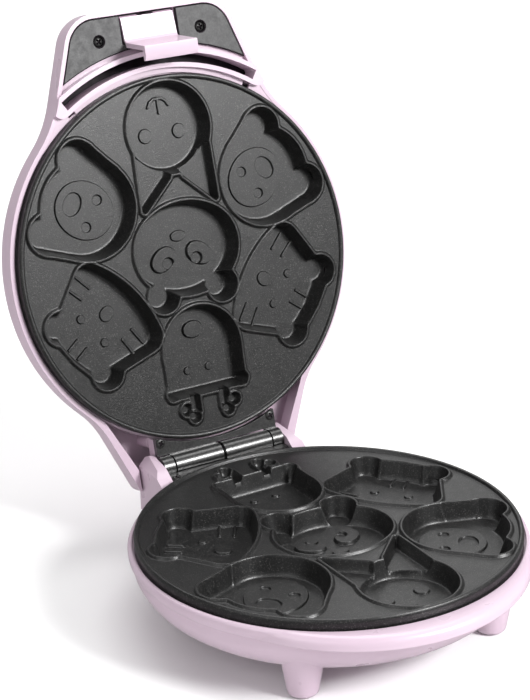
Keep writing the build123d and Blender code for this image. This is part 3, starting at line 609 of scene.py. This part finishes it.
def true_edge(edge, angle):
    """Whether two faces meet here at more than this angle, needle triangles left out."""
    if len(edge.link_faces) != 2 or edge.calc_face_angle(0) < math.radians(angle):
        return False
    widths = [2 * face.calc_area() / max(e.calc_length() for e in face.edges) for face in edge.link_faces]
    return min(widths) > NEEDLE


def softened(node, name, width, edge_shade_paint=None):
    """The node's own form with its edges rounded as moulded or cast parts have them. If an edge material is given,
    the rounded edge faces get it as a painted shade line.
    """
    mesh = frame["nodes"][node].data.copy()
    mesh.name = name
    mesh.materials.clear()
    mesh.materials.append(FINISH[SLOT_OF[node]])
    b = bmesh.new()
    b.from_mesh(mesh)
    bmesh.ops.remove_doubles(b, verts=b.verts, dist=MERGE)
    bmesh.ops.dissolve_limit(b, angle_limit=math.radians(FLAT_ANGLE), verts=b.verts, edges=b.edges)
    weight = b.edges.layers.float.new("bevel_weight_edge")
    for edge in b.edges:
        edge[weight] = float(true_edge(edge, ROUNDED_ANGLE))
    b.to_mesh(mesh)
    b.free()
    obj = bpy.data.objects.new(name, mesh)
    scene.collection.objects.link(obj)
    for key in list(obj.keys()):
        del obj[key]
    bevel = obj.modifiers.new("edges", "BEVEL")
    bevel.width = width * MM
    bevel.segments = EDGE_SEGMENTS
    bevel.limit_method = "WEIGHT"
    bevel.use_clamp_overlap = True
    # The bevel's new faces get the extra material: a painted shade line along the edges
    if edge_shade_paint:
        mesh.materials.append(edge_shade_paint)
        bevel.material = 1
    made = baked(obj)
    b = bmesh.new()
    b.from_mesh(made)
    for face in b.faces:
        face.smooth = True
    for edge in b.edges:
        edge.smooth = not true_edge(edge, SHARP_ANGLE)
    b.to_mesh(made)
    b.free()
    shading = obj.modifiers.new("shading", "WEIGHTED_NORMAL")
    shading.keep_sharp = True
    made = baked(obj)
    made.name = name
    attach(obj, BODY_OF[node])
    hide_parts(node)


def from_row(points, lid):
    """Row frame in metres back to source coordinates in millimetres, with the lid closed."""
    p = np.array(points, float).reshape(-1, 3) / MM
    p[:, 1] += MIDDLE_Y
    p[:, 2] += FLOOR_Z
    if lid:
        c, s = math.cos(OPEN_ANGLE), math.sin(OPEN_ANGLE)
        y, z = p[:, 1] - HINGE_Y, p[:, 2] - HINGE_Z
        p[:, 1], p[:, 2] = HINGE_Y + y * c - z * s, HINGE_Z + y * s + z * c
    return p


def repaint(obj, material, inside):
    """Gives another material to the faces whose corners all pass the test, in source coordinates."""
    mesh = obj.data
    mesh.materials.append(material)
    corners = np.zeros(len(mesh.vertices) * 3)
    mesh.vertices.foreach_get("co", corners)
    p = from_row(corners, True)
    passed = inside(p[:, 0], p[:, 1], p[:, 2])
    mark = [(len(mesh.materials) - 1) * all(passed[v] for v in face.vertices) for face in mesh.polygons]
    mesh.polygons.foreach_set("material_index", mark)


# Screw heads, in millimetres; the cross's arms, its depth and its sides go with the head's size, and faces deeper in
# the cross than a share of the height get painted shade
SCREW_RINGS, SCREW_STEPS = 26, 72
HEAD_R, CROSS_HALF, SHANK_R, SHANK_END = 2.7, 1.7, 1.5, -2.0
ARM_HALF, CROSS_SIDE = 0.21, 0.10    # of the radius
CROSS_DEPTH, SHADE_PAINT_DEPTH = 0.75, 0.02     # of the height
CROWN_POWER, CROWN_DROP = 3.2, 0.96
HANDLE_SCREWS, HINGE_SCREWS = (31, -122.4), (35, 97.2)     # x and y of the right one


def screw_head(height):
    """A domed head with a cross recess, its seat at z 0 and its crown up, over a short shank, with the faces deep in
    the recess marked for painted shade.
    """
    verts, faces, sunk = [], [], []
    arm_half = ARM_HALF * HEAD_R
    for i in range(SCREW_RINGS + 1):
        r = HEAD_R * i / SCREW_RINGS
        for j in range(SCREW_STEPS):
            t = 2 * math.pi * j / SCREW_STEPS
            x, y = r * math.cos(t), r * math.sin(t)
            z = height * math.sqrt(max(0.0, 1 - (r / HEAD_R) ** CROWN_POWER * CROWN_DROP))
            arm = min(max(abs(x) - CROSS_HALF, abs(y) - arm_half), max(abs(y) - CROSS_HALF, abs(x) - arm_half))
            deep = CROSS_DEPTH * height * min(1.0, max(0.0, -arm / (CROSS_SIDE * HEAD_R)))
            verts.append((x, y, z - deep))
            sunk.append(deep > SHADE_PAINT_DEPTH * height)
    rings = SCREW_RINGS + 1
    for r, z in ((HEAD_R, 0.0), (SHANK_R, 0.0), (SHANK_R, SHANK_END)):
        for j in range(SCREW_STEPS):
            t = 2 * math.pi * j / SCREW_STEPS
            verts.append((r * math.cos(t), r * math.sin(t), z))
            sunk.append(False)
    for i in range(rings + 2):
        for j in range(SCREW_STEPS):
            k = (j + 1) % SCREW_STEPS
            a, b = i * SCREW_STEPS, (i + 1) * SCREW_STEPS
            if i == 0:
                faces.append((a, b + j, b + k))
            else:
                faces.append((a + j, b + j, b + k, a + k))
    faces.append(tuple((rings + 2) * SCREW_STEPS + j for j in reversed(range(SCREW_STEPS))))
    verts = np.array(verts)
    used = np.ones(len(verts), bool)
    used[1:SCREW_STEPS] = False          # the first ring is one point
    index = np.cumsum(used) - 1
    # faces whose corners all lie deep in the cross are marked for painted shade
    dark = [all(sunk[v] for v in f) for f in faces]
    return verts[used], [tuple(int(index[v]) for v in f) for f in faces], dark


def screw_set(name, node, place, seat, height, turns, lid, down):
    """Cross-headed screws on both sides of the middle, with their crowns up or down in the closed model."""
    x, y = place
    verts, faces, dark = [], [], []
    for place_x, turn in zip((x, -x), turns):
        v, f, sunk = screw_head(height)
        dark += sunk
        a = math.radians(turn)
        v = np.stack([v[:, 0] * math.cos(a) - v[:, 1] * math.sin(a), v[:, 0] * math.sin(a) + v[:, 1] * math.cos(a),
                      v[:, 2]], 1)
        if down:
            v = v * (1, -1, -1)
        faces += [tuple(len(verts) + i for i in face) for face in f]
        verts += [tuple(q) for q in v + (place_x, y, seat)]
    piece = new_piece(name, to_row(verts, lid), faces, "lid" if lid else "base", "black_screw")
    piece.data.set_sharp_from_angle(angle=math.radians(40))
    # The cross recesses' deep faces take the near-black material: painted shade
    piece.data.materials.append(SHADE_PAINT)
    piece.data.polygons.foreach_set("material_index", [int(mark) for mark in dark])
    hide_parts(node)


def fasteners():
    screw_set("handle_screw_heads", "handle_screws", HANDLE_SCREWS, 8.0, 1.7, (12, 40), lid=True, down=True)
    screw_set("lid_hinge_screw_heads", "lid_bracket_screws", HINGE_SCREWS, 0.1, 1.0, (20, 65), lid=True, down=True)
    screw_set("base_hinge_screw_heads", "base_bracket_screws", HINGE_SCREWS, -2.5, 1.0, (33, 5), lid=False,
              down=False)


NORMAL_STEP, SKIN_REACH = 0.02, 0.02     # millimetres


def true_normals(obj, lid):
    """Shading normals straight from the height function, so that the triangles don't show."""
    mesh = obj.data
    side = (1, 1, -1 if lid else 1)
    place = np.zeros(len(mesh.vertices) * 3)
    mesh.vertices.foreach_get("co", place)
    p = from_row(place, lid)
    x, y, z = (p * side).T
    slope_x = (plate_height(x + NORMAL_STEP, y) - plate_height(x - NORMAL_STEP, y)) / (2 * NORMAL_STEP)
    slope_y = (plate_height(x, y + NORMAL_STEP) - plate_height(x, y - NORMAL_STEP)) / (2 * NORMAL_STEP)
    up = np.stack([-slope_x, -slope_y, np.ones(len(x))], 1) * side
    up = to_row(p + up, lid) - to_row(p, lid)
    up /= np.linalg.norm(up, axis=1)[:, None]
    height = plate_height(x, y)
    on_top, below = np.abs(z - height) < SKIN_REACH, np.abs(z - height + SHEET) < SKIN_REACH
    corner = np.zeros(len(mesh.loops), int)
    mesh.loops.foreach_get("vertex_index", corner)
    normals = np.zeros(len(mesh.polygons) * 3)
    mesh.polygons.foreach_get("normal", normals)
    count = np.zeros(len(mesh.polygons), int)
    mesh.polygons.foreach_get("loop_total", count)
    shade = np.repeat(normals.reshape(-1, 3), count, axis=0)
    facing = (up[corner] * shade).sum(1)
    top, under = on_top[corner] & (facing > 0.1), below[corner] & (facing < -0.1)
    shade[top] = up[corner][top]
    shade[under] = -up[corner][under]
    mesh.normals_split_custom_set(shade.tolist())


def plates():
    verts, faces = plate_mesh(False)
    low = new_piece("lower_plate_casting", to_row(verts, False), faces, "base", "nonstick_plate")
    true_normals(low, False)
    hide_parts("lower_plate")
    over = verts.copy()
    over[:, 2] *= -1
    top = new_piece("upper_plate_casting", to_row(over, True), [tuple(reversed(f)) for f in faces], "lid",
                    "nonstick_plate")
    true_normals(top, True)
    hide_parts("upper_plate")


# Webs in the lid's rim: their height, the plate's ring inside them and the middle of the wall's arc outside
WEB_LOW, WEB_HIGH, WEB_STEPS = 5.8, 7.4, 14
RING_R, RING_START, RING_SPAN = 100.8, 33, 13.8     # degrees from the front
WALL_X, WALL_Y, WALL_R = 120.6, -113.5, 63.2
WALL_START, WALL_END = (60.86, -92.85), (74.58, -70.18)


def rim_webs():
    """Thin webs that close the corners between the upper plate's ring, the collar and the lid's wall."""
    first, last = (math.atan2(y - WALL_Y, x - WALL_X) for x, y in (WALL_START, WALL_END))
    outer, inner = [], []
    for i in range(WEB_STEPS + 1):
        turn = first + (last - first) * i / WEB_STEPS
        outer.append((WALL_X + WALL_R * math.cos(turn), WALL_Y + WALL_R * math.sin(turn)))
        angle = math.radians(RING_START + RING_SPAN * i / WEB_STEPS)
        inner.append((RING_R * math.sin(angle), -RING_R * math.cos(angle)))
    n = WEB_STEPS + 1
    verts, faces = [], []
    for side in (1, -1):
        start = len(verts)
        for chain, z in ((outer, WEB_LOW), (inner, WEB_LOW), (inner, WEB_HIGH), (outer, WEB_HIGH)):
            verts += [(side * x, y, z) for x, y in chain]
        made = []
        for ring in range(4):
            a, b = start + ring * n, start + (ring + 1) % 4 * n
            made += [(a + i, b + i, b + i + 1, a + i + 1) for i in range(WEB_STEPS)]
        made += [tuple(start + k * n for k in (3, 2, 1, 0)), tuple(start + k * n + WEB_STEPS for k in range(4))]
        faces += made if side > 0 else [tuple(reversed(face)) for face in made]
    web = new_piece("lid_rim_webs", to_row(verts, True), faces, "lid", "pink_plastic", smooth=False)
    b = bmesh.new()
    b.from_mesh(web.data)
    bmesh.ops.recalc_face_normals(b, faces=b.faces)
    b.to_mesh(web.data)
    b.free()


# Studio, in metres
FLOOR_ROWS, FLOOR_COLUMNS = 40, 24
FLOOR_START, FLOOR_DEPTH, FLOOR_WIDTH = -2.5, 6.0, 8.0
BEND_START, BEND_DEPTH, BEND_RISE = 1.6, 1.9, 1.2
AIR_STRENGTH = 0.28
MIDDLE = (0, 0, 0.12)
# name, place, target, size, watts
LIGHTS = (
    ("front_light", (0.60, -1.22, 0.94), MIDDLE, (0.45, 0.45), 30),
    ("rear_card", (1.0, 1.65, 0.85), MIDDLE, (1.3, 0.9), 2.4),
    ("left_light", (-1.4, -0.7, 0.9), MIDDLE, (1.2, 1.2), 7),
    ("top_light", (0.25, 0.35, 1.6), MIDDLE, (1.3, 0.9), 14),
    ("backdrop_light", (0.30, 1.45, 1.55), (0.3, 1.5, 0.0), (2.2, 0.8), 15),
)


def studio():
    """A plain pale floor that curves up behind, and soft light."""
    verts, faces = [], []
    for i in range(FLOOR_ROWS + 1):
        y = FLOOR_START + FLOOR_DEPTH * (i / FLOOR_ROWS)
        z = 0.0 if y < BEND_START else BEND_RISE * ((y - BEND_START) / BEND_DEPTH) ** 2
        for j in range(FLOOR_COLUMNS + 1):
            verts.append((-FLOOR_WIDTH / 2 + FLOOR_WIDTH * j / FLOOR_COLUMNS, y, z))
    for i in range(FLOOR_ROWS):
        for j in range(FLOOR_COLUMNS):
            a = i * (FLOOR_COLUMNS + 1) + j
            faces.append((a, a + 1, a + FLOOR_COLUMNS + 2, a + FLOOR_COLUMNS + 1))
    m = Maker("studio_paper")
    m.link(m.ramp(m.noise(3, 2), (0.3, (0.92, 0.92, 0.92)), (0.7, (0.95, 0.95, 0.95))), "Base Color")
    m.link(m.ranged(m.noise(40, 3), 0.75, 0.9), "Roughness")
    mesh = bpy.data.meshes.new("studio_floor")
    mesh.from_pydata(verts, [], faces)
    mesh.materials.append(m.material)
    mesh.polygons.foreach_set("use_smooth", [True] * len(mesh.polygons))
    floor = bpy.data.objects.new("studio_floor", mesh)
    scene.collection.objects.link(floor)
    floor.visible_glossy = False         # the coating reflects the lights and not the paper

    world = bpy.data.worlds.new("studio_air")
    world.use_nodes = True
    world.node_tree.nodes["Background"].inputs["Color"].default_value = (1, 1, 1, 1)
    world.node_tree.nodes["Background"].inputs["Strength"].default_value = AIR_STRENGTH
    scene.world = world

    for name, place, target, size, power in LIGHTS:
        data = bpy.data.lights.new(name, "AREA")
        data.shape = "RECTANGLE"
        data.size, data.size_y = size
        data.energy = power
        light = bpy.data.objects.new(name, data)
        light.location = place
        light.rotation_euler = (Vector(target) - Vector(place)).to_track_quat("-Z", "Y").to_euler()
        scene.collection.objects.link(light)


# The photo's camera, from the fit to both plates and the hinge line: pixels, degrees and metres
FOCAL_PIXELS, PHOTO_HEIGHT, SENSOR = 2109.6, 700, 36
AZIMUTH, ELEVATION, ROLL = -30.77, 21.70, -1.23
DISTANCE, AIM_X, AIM_Y, AIM_Z = 1.0691, -0.0158, 33.3, 89.2     # the last two in the source's millimetres


def camera():
    data = bpy.data.cameras.new("photo_camera")
    data.sensor_fit = "VERTICAL"
    data.sensor_height = SENSOR
    data.lens = FOCAL_PIXELS * SENSOR / PHOTO_HEIGHT
    obj = bpy.data.objects.new("photo_camera", data)
    scene.collection.objects.link(obj)
    az, el, roll = math.radians(AZIMUTH), math.radians(ELEVATION), math.radians(ROLL)
    back = Vector((math.sin(az) * math.cos(el), -math.cos(az) * math.cos(el), math.sin(el)))
    right = (-back).cross(Vector((0, 0, 1))).normalized()
    up = right.cross(-back)
    rolled_right = right * math.cos(roll) + up * math.sin(roll)
    rolled_up = up * math.cos(roll) - right * math.sin(roll)
    turn = Matrix((rolled_right, rolled_up, back)).transposed().to_4x4()
    target = Vector((AIM_X, AIM_Y * MM - MIDDLE_Y * MM, AIM_Z * MM - FLOOR_Z * MM))
    obj.matrix_world = Matrix.Translation(target + back * DISTANCE) @ turn
    scene.camera = obj


# Edge widths in millimetres
EDGES = (("base_shell", 0.5), ("lid_shell", 0.5), ("lid_inner_frame", 0.4), ("latch", 0.4),
         ("base_hinge_bracket", 0.35), ("lid_hinge_bracket", 0.35))
# The handle cover's wider rounded edge carries a painted shadow line for the gap round the cover
COVER_EDGE = 0.7
# The slot in the collar, whose walls and floor get painted shade: half its angle from the front, then its radii and
# heights
SLOT_HALF = math.radians(32.6)
SLOT_IN_R, SLOT_OUT_R, SLOT_LOW, SLOT_HIGH = 105.9, 111.6, 2.8, 14.3


def in_slot(x, y, z):
    r = np.hypot(x, y)
    return ((np.abs(np.arctan2(x, -y)) < SLOT_HALF) & (r > SLOT_IN_R) & (r < SLOT_OUT_R)
            & (z > SLOT_LOW) & (z < SLOT_HIGH))


for node, width in EDGES:
    softened(node, node + "_moulding", width)
# The handle cover's rounded edges take the near-black material: a painted shadow for the gap round the cover
softened("handle_cover", "handle_cover_moulding", COVER_EDGE, SHADE_PAINT)
# The collar slot's walls and floor take the near-black material: painted shade
repaint(bpy.data.objects["lid_inner_frame_moulding"], SHADE_PAINT, in_slot)
plates()
fasteners()
rim_webs()
studio()
camera()
scene.view_settings.view_transform = "Standard"
